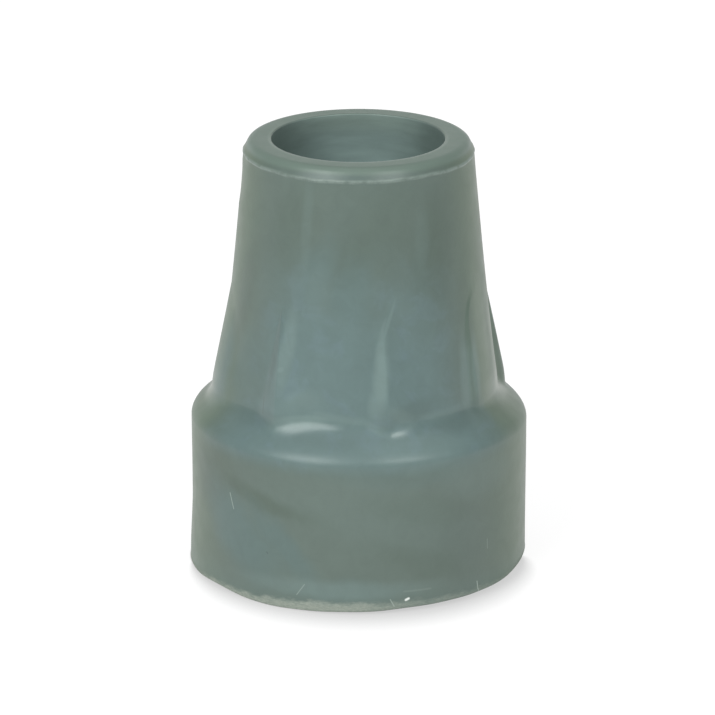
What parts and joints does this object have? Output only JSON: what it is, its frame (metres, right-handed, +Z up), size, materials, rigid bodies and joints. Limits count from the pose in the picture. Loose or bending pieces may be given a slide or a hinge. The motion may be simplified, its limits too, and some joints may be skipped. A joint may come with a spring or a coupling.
{
  "type": "rubber cane tip",
  "caption": "Ribbed rubber tip for the foot of a walking cane: tapered neck with a blind tube socket, sloping shoulder and wide drum on a flat sole.",
  "frame": {"origin": "centre of the flat sole", "axes": "+Z up along the axis of the socket, out of its mouth; -Y is the side seen from the front, and +X is its right"},
  "size_m": [0.0378, 0.0378, 0.0487],
  "materials": {
    "grey_rubber": "matte, faintly marbled grey-green moulded rubber"
  },
  "bodies": {
    "root": {"cane_tip": "grey_rubber"}
  },
  "joints": []
}
